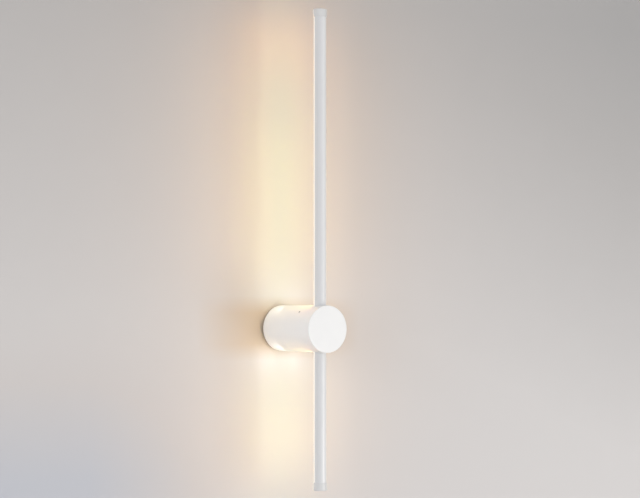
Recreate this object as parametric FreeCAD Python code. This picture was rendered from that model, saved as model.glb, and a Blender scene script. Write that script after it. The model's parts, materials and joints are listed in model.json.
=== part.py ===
import FreeCAD, Part
import math
import os

# Tube wall light: a slim upright light tube carried by a round drum on the wall.
# Millimetres. The origin is on the wall, on the drum's axis. +Z is up, +Y goes into
# the wall, and "depth" is the distance out from the wall, so y = -depth.

os.makedirs("parts", exist_ok=True)

# ---------------------------------------------------------------- driving dimensions

# drum
drum_diameter = 60.0
drum_wall = 2.5
plate_gap = 0.5              # between the wall plate's front and the drum's rear edge
front_cap_thickness = 3.0
front_cap_chamfer = 0.9
spigot_wall = 2.0
spigot_tube_gap = 1.0        # from the spigot's rear edge to the tube
drum_fit = 0.05              # radial, for what slides into the drum's bore

# light tube
tube_diameter = 16.0
tube_hole_clearance = 0.7    # radial, where the tube passes through the drum
profile_length = 600.0
profile_below_hub = 198.0    # from the drum's axis to the extrusion's lower end
profile_wall = 1.2
web_thickness = 1.2
web_root = 0.2               # how far the web runs into the wall on each side
web_behind_groove = 0.8      # from the snap groove to the web's face
snap_groove_depth = 0.4
snap_groove_height = 0.6
snap_groove_offset = 0.4     # from the extrusion's open edge to the groove

# diffusers
diffuser_wall = 1.5
diffuser_leg_thickness = 0.8
diffuser_leg_length = 1.1
diffuser_leg_root = 1.0      # how far the leg runs up inside the diffuser's wall
diffuser_leg_fit = 0.1       # between a leg and the extrusion's inner face
hook_height = 0.5
hook_reach = 0.3
lead_window = 20.0           # gap between the two diffusers, inside the drum

# end caps
end_cap_rim = 1.0            # how far the cap's head stands out beyond the tube, radially
end_cap_skirt_rim = 0.5      # the same at the skirt's open edge, so the cap flares gently
end_cap_head = 6.0
end_cap_skirt = 4.0
end_cap_spigot = 4.0
end_cap_fit = 0.1
end_cap_edge = 0.8

# LED boards
board_thickness = 1.0
board_side_gap = 0.35        # between the board's edge and the diffuser's leg
board_end_gap = 1.0
board_joint_gap = 8.0        # between the two boards, on the drum's axis
led_length = 3.5
led_width = 2.8
led_height = 0.6
led_pitch = 10.0
led_clear_of_lead = 10.0     # from a board's inner end to its first LED

# tube clamp
cradle_half_height = 7.0
cradle_web = 6.0             # metal between the tube and the front cap
cradle_fit = 0.05
clip_thickness = 1.5
clip_overhang = 1.0          # how far a clip reaches inside the extrusion's wall
clip_screw_from_tube = 4.5
clip_screw_edge = 4.5        # from the screw's axis to the cradle's end
clip_screw_radius = 1.5
clip_screw_length = 9.0
clip_screw_head_radius = 2.7
clip_screw_head_height = 2.0
clip_hole_clearance = 0.1
clip_hole_spare = 0.5        # depth of the threaded hole beyond the screw's tip

# side set screws
side_screw_angle = 43.0      # from the top towards the left, seen from the room
side_screw_behind_tube = 16.5
side_screw_radius = 1.5
side_screw_recess = 0.7
side_screw_tip = 0.5         # how far it passes through the bracket's leg

# swivel
bracket_thickness = 2.0
bracket_leg_thickness = 3.0
bracket_width = 16.0
bracket_leg_margin = 5.0     # from the side screw to the leg's end
bracket_rim = 1.0            # metal outside the stop pin
spindle_radius = 5.0
spindle_bore_radius = 3.0
spindle_running_clearance = 0.07
spindle_proud = 0.8
spindle_rear_proud = 0.5
nut_across_flats = 14.0
lock_nut_across_flats = 17.0
rear_nut_thickness = 4.0
jam_nut_thickness = 3.0
lock_nut_thickness = 6.0
washer_radius = 9.0
friction_washer_thickness = 1.0
disc_spring_thickness = 0.7
disc_spring_rise = 0.5
flat_washer_thickness = 1.0
stop_pin_radius = 1.5
stop_pin_side_gap = 1.5      # between the washers' rim and the pins
stop_pin_end_gap = 0.4

# wall plate
plate_thickness = 3.0
plate_edge_gap = 0.5         # radial, inside the line of the drum's bore
plate_edge_chamfer = 0.5
wall_slot_spacing = 38.0
wall_slot_length = 9.0
wall_slot_width = 4.5
cable_hole_radius = 4.75
cable_hole_x = 4.5
grommet_wall = 1.5
grommet_flange_reach = 1.4
grommet_flange_thickness = 1.2
through_gap = 0.3            # what passes through the plate stops short of its rear
earth_screw_inset = 7.8      # from the plate's edge
earth_washer_side_gap = 1.0  # from the washer to the side of the bridge's foot
earth_screw_radius = 2.0
earth_screw_head_radius = 3.2
earth_screw_head_height = 2.0
earth_washer_radius = 3.6
earth_washer_thickness = 0.8

# bridge that carries the driver and the spindle
frame_width = 16.0
frame_thickness = 2.0
frame_foot_length = 7.0
frame_wall_clearance = 5.5   # from the bridge's legs to the drum's bore
rivet_radius = 1.25
rivet_head_radius = 2.3
rivet_tail_height = 1.0

# driver
case_wall = 1.5
lid_thickness = 1.5
solder_gap = 3.5
board_material = 1.2
component_height = 11.0
component_gap = 1.3
screwdriver_clearance = 2.5  # from the driver's side to the wall slots
driver_nut_gap = 1.0
post_radius = 2.0
post_inset = 1.0             # from the case's inner walls to the lid screws' axes
pillar_radius = 1.2
pillar_inset = 2.4           # from the board's end to a pillar's axis
lid_hole_clearance = 0.1
lid_screw_radius = 1.0
lid_screw_head_radius = 1.9
lid_screw_head_height = 1.2
lid_screw_length = 7.0
mount_screw_radius = 1.5
mount_screw_head_radius = 2.7
mount_screw_head_height = 1.8
mount_boss_radius = 3.0
mount_boss_length = 3.0
mount_screw_end_gap = 0.5
mount_hole_clearance = 0.1
driver_board_end_gap = 3.5
driver_board_side_gap = 0.5
transformer_half_width = 7.0
transformer_start = 3.5      # from the drum's axis, clear of the output lead
transformer_boss_gap = 1.0   # from the transformer to the case's screw boss
transformer_leg = 2.2
winding_gap = 0.3
capacitor_radius = 4.0
capacitor_edge = 0.4
capacitor_boss_gap = 2.0     # from the can to the other screw boss

# terminal block
pole_height = 4.0            # from the plate to the first pole
pole_pitch = 6.0
terminal_roof = 4.0          # from the last pole to the block's front face
terminal_gap = 1.0           # from the block to the driver's lid
terminal_half_width = 4.0
terminal_half_length = 7.0
terminal_side_gap = 1.5      # from the block's side to the driver's side line
terminal_tab_length = 4.5
terminal_tab_thickness = 2.0
insert_outer_radius = 2.2
insert_bore_radius = 1.5
insert_end_gap = 1.0
terminal_screw_radius = 1.3
terminal_screw_offset = 3.5
terminal_screw_recess = 1.0
terminal_slot_width = 0.5
terminal_slot_depth = 0.8
tab_screw_radius = 1.25
tab_screw_head_radius = 2.1
tab_screw_head_height = 1.5

# screw heads, as shares of each screw's own size
head_chamfer_share = 0.3     # of the head's height
socket_width_share = 1.3     # of the shank's radius
socket_depth_share = 0.6     # of the head's height
tip_chamfer_share = 0.25     # of the shank's radius
grub_cone_share = 0.4        # of the screw's radius
grub_socket_share = 0.4      # of the screw's length
nut_chamfer_share = 0.5      # of what the nut's corners stand out

# leads
mains_wire_radius = 0.9
mains_wire_bend = 3.0
mains_wire_spacing = 3.0
mains_first_row = 4.0        # from the block's upper end to the first wire's row
lead_radius = 2.0
lead_core_radius = 0.6
lead_core_offset = 1.0
lead_visible = 1.0           # between the spindle and the connector
plug_length = 8.0
plug_nose_length = 4.0
plug_half_width = 3.6
plug_half_height = 2.7
nose_wall_step = 0.8
socket_length = 9.0
socket_wall = 1.0
socket_fit = 0.1
pin_radius = 0.4
tube_lead_radius = 1.6
lead_slack = 8.5             # room for the tube's lead behind the clips
tube_core_radius = 0.45
tube_core_offset = 0.8
tube_core_lift = 0.1         # between a core and the board it is soldered to
lead_bend = 2.0
core_reach = 3.5             # how far a core runs over its board
solder_radius = 0.9
solder_top_radius = 0.5
solder_cover = 0.1           # solder over the core
jumper_offset = 3.2

# ---------------------------------------------------------------- worked-out sizes

drum_radius = drum_diameter / 2
bore_radius = drum_radius - drum_wall
tube_radius = tube_diameter / 2
plate_radius = bore_radius - plate_edge_gap
drum_rear = plate_thickness + plate_gap

# depths from the wall, one piece after the other
terminal_height = pole_height + pole_pitch + terminal_roof
lid_rear = plate_thickness + terminal_height + terminal_gap
case_rear = lid_rear + lid_thickness
driver_board_rear = case_rear + solder_gap
driver_board_front = driver_board_rear + board_material
case_floor = driver_board_front + component_height + component_gap
driver_front = case_floor + case_wall
rear_nut_rear = driver_front + driver_nut_gap
bridge_rear = rear_nut_rear + rear_nut_thickness
bridge_front = bridge_rear + frame_thickness
jam_nut_front = bridge_front + jam_nut_thickness
bracket_rear = jam_nut_front + friction_washer_thickness
bracket_front = bracket_rear + bracket_thickness
spring_front = bracket_front + disc_spring_thickness + disc_spring_rise
flat_washer_front = spring_front + flat_washer_thickness
lock_nut_front = flat_washer_front + lock_nut_thickness
spindle_front = lock_nut_front + spindle_proud
plug_rear = spindle_front + lead_visible
plug_front = plug_rear + plug_length
socket_front = plug_front + socket_length
clip_rear = socket_front + lead_slack
tube_axis = clip_rear + clip_thickness
cap_rear = tube_axis + tube_radius + cradle_web
drum_front = cap_rear + front_cap_thickness
side_screw_depth = tube_axis - side_screw_behind_tube
bracket_leg_end = side_screw_depth + bracket_leg_margin

# bridge and driver
frame_half_height = bore_radius - frame_wall_clearance
driver_half_length = frame_half_height - frame_thickness
driver_half_width = wall_slot_spacing / 2 - wall_slot_length / 2 - screwdriver_clearance
driver_middle = (case_rear + driver_front) / 2
terminal_x = terminal_half_width + terminal_side_gap - driver_half_width
mount_boss_end = driver_half_length - case_wall - mount_boss_length
transformer_end = mount_boss_end - transformer_boss_gap
capacitor_z = capacitor_boss_gap + capacitor_radius - mount_boss_end
earth_screw_circle = plate_radius - earth_screw_inset
earth_screw_x = frame_width / 2 + earth_washer_side_gap + earth_washer_radius
earth_screw_z = -math.sqrt(earth_screw_circle ** 2 - earth_screw_x ** 2)
stop_pin_circle = washer_radius + stop_pin_side_gap + stop_pin_radius

# light tube
profile_bottom = -profile_below_hub
profile_top = profile_bottom + profile_length
profile_inner_radius = tube_radius - profile_wall
board_front = tube_axis + snap_groove_offset + snap_groove_height + web_behind_groove
board_rear = board_front - board_thickness
web_front = board_front + web_thickness
leg_outer = profile_inner_radius - diffuser_leg_fit
leg_inner = leg_outer - diffuser_leg_thickness
led_board_half_width = leg_inner - board_side_gap
clip_screw_offset = tube_radius + clip_screw_from_tube
cradle_half_width = clip_screw_offset + clip_screw_edge
clip_start = profile_inner_radius - clip_overhang

# directions
ROOM = FreeCAD.Vector(0, -1, 0)
WALL = FreeCAD.Vector(0, 1, 0)
UP = FreeCAD.Vector(0, 0, 1)
DOWN = FreeCAD.Vector(0, 0, -1)
LEFT = FreeCAD.Vector(-1, 0, 0)
RIGHT = FreeCAD.Vector(1, 0, 0)


# ---------------------------------------------------------------- shape helpers

def at(x, depth, z):
    return FreeCAD.Vector(x, -depth, z)


def rod(radius, rear, front, x=0.0, z=0.0):
    """A round bar along the drum's axis, between two depths."""
    return Part.makeCylinder(radius, front - rear, at(x, rear, z), ROOM)


def ring(outer, inner, rear, front, x=0.0, z=0.0):
    return rod(outer, rear, front, x, z).cut(rod(inner, rear, front, x, z))


def block(x_from, x_to, rear, front, z_from, z_to):
    corner = FreeCAD.Vector(x_from, -front, z_from)
    return Part.makeBox(x_to - x_from, front - rear, z_to - z_from, corner)


def upright(radius, z_from, z_to, depth, x=0.0):
    """A round bar along the light tube."""
    return Part.makeCylinder(radius, z_to - z_from, at(x, depth, z_from), UP)


def placed(shape, point, direction):
    """Moves a shape built along +Z so that it starts at a point and runs in a direction."""
    shape.Placement = FreeCAD.Placement(point, FreeCAD.Rotation(UP, direction))
    return shape


def joined(first, *others):
    return first.fuse(list(others)).removeSplitter()


def prism(across_flats, length):
    """A hexagonal bar along +Z, its flats facing +X and -X."""
    corner_radius = across_flats / math.sqrt(3)
    corners = []
    for step in range(7):
        angle = math.radians(60 * step + 30)
        corners.append(FreeCAD.Vector(corner_radius * math.cos(angle), corner_radius * math.sin(angle), 0))
    return Part.Face(Part.makePolygon(corners)).extrude(FreeCAD.Vector(0, 0, length))


def circle_edges(shape, radius, level, axis_value):
    """Edges of a shape that are circles of one radius at one level."""
    found = []
    for edge in shape.Edges:
        is_circle = isinstance(edge.Curve, Part.Circle) and edge.isClosed()
        if is_circle and abs(edge.Curve.Radius - radius) < 1e-4:
            if abs(axis_value(edge.Curve.Center) - level) < 1e-4:
                found.append(edge)
    return found


def height_of(point):
    return point.z


def depth_of(point):
    return -point.y


def head_screw(shank_radius, shank_length, head_radius, head_height):
    """A socket-head screw along +Z: the head is below zero, the shank above."""
    head = Part.makeCylinder(head_radius, head_height, FreeCAD.Vector(0, 0, -head_height), UP)
    rim = circle_edges(head, head_radius, -head_height, height_of)
    head = head.makeChamfer(head_chamfer_share * head_height, rim)
    shank = Part.makeCylinder(shank_radius, shank_length)
    tip = circle_edges(shank, shank_radius, shank_length, height_of)
    shank = shank.makeChamfer(tip_chamfer_share * shank_radius, tip)
    socket = prism(socket_width_share * shank_radius, socket_depth_share * head_height)
    socket.translate(FreeCAD.Vector(0, 0, -head_height))
    return joined(head, shank).cut(socket)


def grub_screw(radius, length):
    """A headless socket screw along +Z, its socket at zero and its cone at the end."""
    body = Part.makeCylinder(radius, length)
    tip = circle_edges(body, radius, length, height_of)
    body = body.makeChamfer(grub_cone_share * radius, tip)
    return body.cut(prism(radius, grub_socket_share * length))


def nut(across_flats, rear, front, bore):
    """A hexagonal nut on the drum's axis with chamfered corners."""
    corner_radius = across_flats / math.sqrt(3)
    blank = placed(prism(across_flats, front - rear), at(0, rear, 0), ROOM)
    rounding = rod(corner_radius, rear, front)
    rims = circle_edges(rounding, corner_radius, rear, depth_of)
    rims += circle_edges(rounding, corner_radius, front, depth_of)
    rounding = rounding.makeChamfer(nut_chamfer_share * (corner_radius - across_flats / 2), rims)
    return blank.common(rounding).cut(rod(bore, rear, front))


def bent_wire(radius, start, first_end, corner_radius, first_way, second_way, second_end):
    """A wire: a straight run, a quarter bend, and a straight run."""
    turned = first_end + second_way * corner_radius + first_way * corner_radius
    centre = first_end + second_way * corner_radius
    half = centre + (first_way - second_way) * (corner_radius * math.sqrt(0.5))
    edges = [Part.LineSegment(start, first_end).toShape(),
             Part.Arc(first_end, half, turned).toShape(),
             Part.LineSegment(turned, second_end).toShape()]
    section = Part.Wire([Part.Circle(start, first_way, radius).toShape()])
    return Part.Wire(edges).makePipeShell([section], True, False)


# ---------------------------------------------------------------- drum and front cap

def side_way():
    """Direction of the first side screw, out from the drum's axis."""
    angle = math.radians(side_screw_angle)
    return FreeCAD.Vector(-math.sin(angle), 0, math.cos(angle))


def side_bar(radius, inner, outer, way):
    """A bar along a side screw's axis, between two radii of the drum."""
    start = at(0, side_screw_depth, 0) + way * inner
    return Part.makeCylinder(radius, outer - inner, start, way)


def make_drum_shell():
    shell = ring(drum_radius, bore_radius, drum_rear, cap_rear)
    hole = upright(tube_radius + tube_hole_clearance, -drum_radius, drum_radius, tube_axis)
    shell = shell.cut(hole)
    for way in (side_way(), side_way() * -1):
        shell = shell.cut(side_bar(side_screw_radius, 0, drum_radius, way))
    return shell


def make_front_cap():
    disc = rod(drum_radius, cap_rear, drum_front)
    disc = disc.makeChamfer(front_cap_chamfer, circle_edges(disc, drum_radius, drum_front, depth_of))
    spigot_radius = bore_radius - drum_fit
    spigot_rear = tube_axis + tube_radius + spigot_tube_gap
    spigot = ring(spigot_radius, spigot_radius - spigot_wall, spigot_rear, cap_rear)
    cradle = block(-cradle_half_width, cradle_half_width, tube_axis, cap_rear,
                   -cradle_half_height, cradle_half_height)
    groove = upright(tube_radius + cradle_fit, -cradle_half_height, cradle_half_height, tube_axis)
    cap = joined(disc, spigot, cradle.cut(groove))
    hole_end = clip_rear + clip_screw_length + clip_hole_spare
    for side in (-1, 1):
        cap = cap.cut(rod(clip_screw_radius, tube_axis, hole_end, side * clip_screw_offset))
    return cap


def make_side_set_screws():
    outer = drum_radius - side_screw_recess
    inner = bore_radius - drum_fit - bracket_leg_thickness - side_screw_tip
    screws = []
    for way in (side_way(), side_way() * -1):
        head = at(0, side_screw_depth, 0) + way * outer
        screws.append(placed(grub_screw(side_screw_radius, outer - inner), head, way * -1))
    return Part.makeCompound(screws)


# ---------------------------------------------------------------- tube clamp

def make_tube_clips():
    """Two steel clips that press the extrusion's open edges into the cradle."""
    clips = []
    for side in (-1, 1):
        ends = sorted((side * clip_start, side * cradle_half_width))
        clip = block(ends[0], ends[1], clip_rear, tube_axis, -cradle_half_height, cradle_half_height)
        hole = rod(clip_screw_radius + clip_hole_clearance, clip_rear, tube_axis,
                   side * clip_screw_offset)
        clips.append(clip.cut(hole))
    return Part.makeCompound(clips)


def make_clip_screws():
    screws = []
    for side in (-1, 1):
        screw = head_screw(clip_screw_radius, clip_screw_length, clip_screw_head_radius,
                           clip_screw_head_height)
        screws.append(placed(screw, at(side * clip_screw_offset, clip_rear, 0), ROOM))
    return Part.makeCompound(screws)


# ---------------------------------------------------------------- light tube

def half_tube(outer, inner, z_from, z_to, to_room):
    """Half of a round tube, on the room's side or on the wall's side of its axis."""
    whole = upright(outer, z_from, z_to, tube_axis).cut(upright(inner, z_from, z_to, tube_axis))
    if to_room:
        keep = block(-outer, outer, tube_axis, tube_axis + outer, z_from, z_to)
    else:
        keep = block(-outer, outer, tube_axis - outer, tube_axis, z_from, z_to)
    return whole.common(keep)


def make_tube_profile():
    shell = half_tube(tube_radius, profile_inner_radius, profile_bottom, profile_top, True)
    web = block(-tube_radius, tube_radius, board_front, web_front, profile_bottom, profile_top)
    web = web.common(upright(profile_inner_radius + web_root, profile_bottom, profile_top, tube_axis))
    profile = joined(shell, web)
    groove_rear = tube_axis + snap_groove_offset
    groove_reach = profile_inner_radius + snap_groove_depth
    groove = block(-groove_reach, groove_reach, groove_rear, groove_rear + snap_groove_height,
                   profile_bottom, profile_top)
    return profile.cut(groove)


def make_diffuser(z_from, z_to):
    cover = half_tube(tube_radius, tube_radius - diffuser_wall, z_from, z_to, False)
    hook_rear = tube_axis + snap_groove_offset
    for side in (-1, 1):
        inner = side * leg_inner
        outer = side * leg_outer
        leg = block(min(inner, outer), max(inner, outer), tube_axis - diffuser_leg_root,
                    tube_axis + diffuser_leg_length, z_from, z_to)
        hook_tip = side * (leg_outer + hook_reach)
        hook = block(min(inner, hook_tip), max(inner, hook_tip), hook_rear,
                     hook_rear + hook_height, z_from, z_to)
        cover = joined(cover, leg, hook)
    return cover


def make_end_cap(level, way):
    """A cap over the tube's end at a level, its head pointing up (1) or down (-1)."""
    def span(radius, low, high):
        ends = sorted((level + way * low, level + way * high))
        return upright(radius, ends[0], ends[1], tube_axis)

    outer_radius = tube_radius + end_cap_rim
    head = Part.makeCone(tube_radius + end_cap_skirt_rim, outer_radius, end_cap_skirt + end_cap_head,
                         at(0, tube_axis, level - way * end_cap_skirt), UP * way)
    edge = circle_edges(head, outer_radius, level + way * end_cap_head, height_of)
    head = head.makeFillet(end_cap_edge, edge)
    head = head.cut(span(tube_radius + end_cap_fit, -end_cap_skirt, 0))
    front_plug = span(profile_inner_radius - end_cap_fit, -end_cap_spigot, 0)
    front_room = block(-tube_radius, tube_radius, web_front + end_cap_fit, tube_axis + tube_radius,
                       level - end_cap_spigot, level + end_cap_spigot)
    rear_plug = span(leg_inner - 2 * end_cap_fit, -end_cap_spigot, 0)
    rear_room = block(-tube_radius, tube_radius, tube_axis - tube_radius, board_front - end_cap_fit,
                      level - end_cap_spigot, level + end_cap_spigot)
    return joined(head, front_plug.common(front_room), rear_plug.common(rear_room))


def board_span(upper):
    """Lowest and highest point of an LED board."""
    if upper:
        return board_joint_gap / 2, profile_top - end_cap_spigot - board_end_gap
    return profile_bottom + end_cap_spigot + board_end_gap, -board_joint_gap / 2


def make_led_board(upper):
    low, high = board_span(upper)
    return block(-led_board_half_width, led_board_half_width, board_rear, board_front, low, high)


def make_leds(upper):
    low, high = board_span(upper)
    count = int((high - low - led_clear_of_lead - led_length) / led_pitch) + 1
    packages = []
    for index in range(count):
        along = led_clear_of_lead + index * led_pitch
        middle = low + along if upper else high - along
        packages.append(block(-led_width / 2, led_width / 2, board_rear - led_height, board_rear,
                              middle - led_length / 2, middle + led_length / 2))
    return Part.makeCompound(packages)


# ---------------------------------------------------------------- swivel

def make_swivel_bracket():
    hub_radius = stop_pin_circle + stop_pin_radius + bracket_rim
    reach = bore_radius - drum_fit
    hub = rod(hub_radius, bracket_rear, bracket_front)
    arms = block(-bracket_width / 2, bracket_width / 2, bracket_rear, bracket_leg_end, -reach, reach)
    arms.rotate(FreeCAD.Vector(0, 0, 0), ROOM, side_screw_angle)
    web = rod(reach, bracket_rear, bracket_front)
    legs = ring(reach, reach - bracket_leg_thickness, bracket_rear, bracket_leg_end)
    bracket = joined(hub, arms.common(web), arms.common(legs))
    bracket = bracket.cut(rod(spindle_radius + spindle_running_clearance, bracket_rear, bracket_front))
    bracket = bracket.cut(rod(stop_pin_radius, bracket_rear, bracket_front, 0, stop_pin_circle))
    for way in (side_way(), side_way() * -1):
        bracket = bracket.cut(side_bar(side_screw_radius, stop_pin_circle, drum_radius, way))
    return bracket


def make_bracket_stop_pin():
    return rod(stop_pin_radius, bridge_front + stop_pin_end_gap, bracket_front, 0, stop_pin_circle)


def make_base_stop_pin():
    return rod(stop_pin_radius, bridge_rear, bracket_rear - stop_pin_end_gap, 0, -stop_pin_circle)


def make_hollow_spindle():
    rear = rear_nut_rear - spindle_rear_proud
    return ring(spindle_radius, spindle_bore_radius, rear, spindle_front)


def make_disc_spring():
    """A conical washer: its rim bears on the bracket, its bore edge on the flat washer."""
    inner = spindle_radius + spindle_running_clearance
    points = [at(inner, bracket_front + disc_spring_rise, 0),
              at(inner, spring_front, 0),
              at(washer_radius, bracket_front + disc_spring_thickness, 0),
              at(washer_radius, bracket_front, 0)]
    section = Part.Face(Part.makePolygon(points + points[:1]))
    return section.revolve(FreeCAD.Vector(0, 0, 0), ROOM, 360)


# ---------------------------------------------------------------- wall plate

def wall_slot(x):
    half = (wall_slot_length - wall_slot_width) / 2
    radius = wall_slot_width / 2
    middle = block(x - half, x + half, 0, plate_thickness, -radius, radius)
    ends = [rod(radius, 0, plate_thickness, x - half), rod(radius, 0, plate_thickness, x + half)]
    return joined(middle, *ends)


def rivet_level():
    return frame_half_height - frame_thickness - (frame_foot_length - frame_thickness) / 2


def make_wall_plate():
    plate = rod(plate_radius, 0, plate_thickness)
    plate = plate.makeChamfer(plate_edge_chamfer,
                              circle_edges(plate, plate_radius, plate_thickness, depth_of))
    for side in (-1, 1):
        plate = plate.cut(wall_slot(side * wall_slot_spacing / 2))
        plate = plate.cut(rivet_blank(side, plate_thickness))
    plate = plate.cut(rod(cable_hole_radius, 0, plate_thickness, cable_hole_x))
    plate = plate.cut(rod(earth_screw_radius, 0, plate_thickness, earth_screw_x, earth_screw_z))
    tab_z = terminal_tab_z()
    return plate.cut(rod(tab_screw_radius, 0, plate_thickness, terminal_x, tab_z))


def make_cable_grommet():
    front = plate_thickness + grommet_flange_thickness
    neck = rod(cable_hole_radius, through_gap, plate_thickness, cable_hole_x)
    flange = rod(cable_hole_radius + grommet_flange_reach, plate_thickness, front, cable_hole_x)
    bore = rod(cable_hole_radius - grommet_wall, through_gap, front, cable_hole_x)
    return joined(neck, flange).cut(bore)


def make_earth_washer():
    front = plate_thickness + earth_washer_thickness
    return ring(earth_washer_radius, earth_screw_radius, plate_thickness, front,
                earth_screw_x, earth_screw_z)


def make_earth_screw():
    front = plate_thickness + earth_washer_thickness
    screw = head_screw(earth_screw_radius, front - through_gap, earth_screw_head_radius,
                       earth_screw_head_height)
    return placed(screw, at(earth_screw_x, front, earth_screw_z), WALL)


# ---------------------------------------------------------------- bridge

def make_driver_frame():
    half = frame_width / 2
    outer = frame_half_height
    inner = outer - frame_thickness
    bridge = block(-half, half, bridge_rear, bridge_front, -outer, outer)
    foot_front = plate_thickness + frame_thickness
    for side in (-1, 1):
        leg_ends = sorted((side * inner, side * outer))
        leg = block(-half, half, plate_thickness, bridge_front, leg_ends[0], leg_ends[1])
        foot_ends = sorted((side * (outer - frame_foot_length), side * outer))
        foot = block(-half, half, plate_thickness, foot_front, foot_ends[0], foot_ends[1])
        bridge = joined(bridge, leg, foot)
    for side in (-1, 1):
        bridge = bridge.cut(rod(rivet_radius, plate_thickness, foot_front, 0, side * rivet_level()))
        way = UP * side
        hole = Part.makeCylinder(mount_screw_radius + mount_hole_clearance, frame_thickness,
                                 at(0, driver_middle, side * inner), way)
        bridge = bridge.cut(hole)
    bridge = bridge.cut(rod(spindle_radius, bridge_rear, bridge_front))
    return bridge.cut(rod(stop_pin_radius, bridge_rear, bridge_front, 0, -stop_pin_circle))


def rivet_blank(side, front):
    """A rivet's shank and countersunk head, which is flush with the plate's rear."""
    level = side * rivet_level()
    cone_height = rivet_head_radius - rivet_radius
    head = Part.makeCone(rivet_head_radius, rivet_radius, cone_height, at(0, 0, level), ROOM)
    return joined(head, rod(rivet_radius, 0, front, 0, level))


def make_frame_rivets():
    foot_front = plate_thickness + frame_thickness
    rivets = []
    for side in (-1, 1):
        level = side * rivet_level()
        tail = Part.makeCone(rivet_head_radius, rivet_radius, rivet_tail_height,
                             at(0, foot_front, level), ROOM)
        rivets.append(joined(rivet_blank(side, foot_front), tail))
    return Part.makeCompound(rivets)


# ---------------------------------------------------------------- driver

def driver_corners():
    """Places of the lid screws: in the four corners of the case."""
    x = driver_half_width - case_wall - post_inset
    z = driver_half_length - case_wall - post_inset
    return [(x, z), (-x, z), (x, -z), (-x, -z)]


def make_driver_case():
    width = driver_half_width
    length = driver_half_length
    case = block(-width, width, case_rear, driver_front, -length, length)
    case = case.cut(block(case_wall - width, width - case_wall, case_rear, case_floor,
                          case_wall - length, length - case_wall))
    for x, z in driver_corners():
        case = joined(case, rod(post_radius, case_rear, case_floor, x, z))
    for side_x in (-1, 1):
        for side_z in (-1, 1):
            x = side_x * (driver_board_half_width() - pillar_radius)
            z = side_z * (driver_board_half_length() - pillar_inset)
            case = joined(case, rod(pillar_radius, driver_board_front, case_floor, x, z))
    for side in (-1, 1):
        way = UP * side
        start = at(0, driver_middle, side * mount_boss_end)
        boss = Part.makeCylinder(mount_boss_radius, mount_boss_length, start, way)
        hole = Part.makeCylinder(mount_screw_radius, mount_boss_length + case_wall, start, way)
        case = joined(case, boss).cut(hole)
    for x, z in driver_corners():
        case = case.cut(rod(lid_screw_radius, case_rear, case_rear + lid_screw_length, x, z))
    return case.cut(rod(lead_radius, case_floor, driver_front))


def make_driver_lid():
    lid = block(-driver_half_width, driver_half_width, lid_rear, case_rear,
                -driver_half_length, driver_half_length)
    for x, z in driver_corners():
        lid = lid.cut(rod(lid_screw_radius + lid_hole_clearance, lid_rear, case_rear, x, z))
    for row in mains_rows():
        lid = lid.cut(rod(mains_wire_radius + lid_hole_clearance, lid_rear, case_rear, terminal_x, row))
    return lid


def make_driver_lid_screws():
    screws = []
    for x, z in driver_corners():
        screw = head_screw(lid_screw_radius, lid_screw_length, lid_screw_head_radius,
                           lid_screw_head_height)
        screws.append(placed(screw, at(x, lid_rear, z), ROOM))
    return Part.makeCompound(screws)


def make_driver_mount_screws():
    screws = []
    for side in (-1, 1):
        length = frame_thickness + case_wall + mount_boss_length - mount_screw_end_gap
        screw = head_screw(mount_screw_radius, length, mount_screw_head_radius, mount_screw_head_height)
        screws.append(placed(screw, at(0, driver_middle, side * frame_half_height), UP * -side))
    return Part.makeCompound(screws)


def driver_board_half_width():
    return driver_half_width - case_wall - driver_board_side_gap


def driver_board_half_length():
    return driver_half_length - case_wall - driver_board_end_gap


def make_driver_board():
    width = driver_board_half_width()
    length = driver_board_half_length()
    return block(-width, width, driver_board_rear, driver_board_front, -length, length)


def make_driver_transformer():
    """An E-shaped core with its two windows open to the front and the back of the coil."""
    front = driver_board_front + component_height
    core = block(-transformer_half_width, transformer_half_width, driver_board_front, front,
                 transformer_start, transformer_end)
    for side in (-1, 1):
        ends = sorted((side * transformer_leg, side * (transformer_half_width - transformer_leg)))
        core = core.cut(block(ends[0], ends[1], driver_board_front + transformer_leg,
                              front - transformer_leg, transformer_start, transformer_end))
    return core


def make_transformer_winding():
    rear = driver_board_front + transformer_leg + winding_gap
    front = driver_board_front + component_height - transformer_leg - winding_gap
    outer = transformer_half_width - transformer_leg - winding_gap
    coil = block(-outer, outer, rear, front, transformer_start + winding_gap,
                 transformer_end - winding_gap)
    return coil.cut(block(-transformer_leg, transformer_leg, rear, front, transformer_start,
                          transformer_end))


def make_driver_capacitor():
    front = driver_board_front + component_height
    can = rod(capacitor_radius, driver_board_front, front, 0, capacitor_z)
    return can.makeFillet(capacitor_edge, circle_edges(can, capacitor_radius, front, depth_of))


# ---------------------------------------------------------------- terminal block

def pole_depths():
    first = plate_thickness + pole_height
    return first, first + pole_pitch


def terminal_tab_z():
    return -terminal_half_length - terminal_tab_length / 2


def pole_bar(radius, depth, end_gap):
    return upright(radius, end_gap - terminal_half_length, terminal_half_length - end_gap, depth,
                   terminal_x)


def screw_bar(radius, depth, z):
    """A bar from the block's side face to the pole's axis."""
    start = at(terminal_x - terminal_half_width, depth, z)
    return Part.makeCylinder(radius, terminal_half_width, start, RIGHT)


def make_terminal_block():
    left = terminal_x - terminal_half_width
    right = terminal_x + terminal_half_width
    front = plate_thickness + terminal_height
    body = block(left, right, plate_thickness, front, -terminal_half_length, terminal_half_length)
    tab = block(left, right, plate_thickness, plate_thickness + terminal_tab_thickness,
                -terminal_half_length - terminal_tab_length, -terminal_half_length)
    body = joined(body, tab)
    for depth in pole_depths():
        body = body.cut(pole_bar(insert_bore_radius, depth, 0))
        body = body.cut(pole_bar(insert_outer_radius, depth, insert_end_gap))
        for side in (-1, 1):
            body = body.cut(screw_bar(terminal_screw_radius, depth, side * terminal_screw_offset))
    return body.cut(rod(tab_screw_radius, plate_thickness, plate_thickness + terminal_tab_thickness,
                        terminal_x, terminal_tab_z()))


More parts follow.
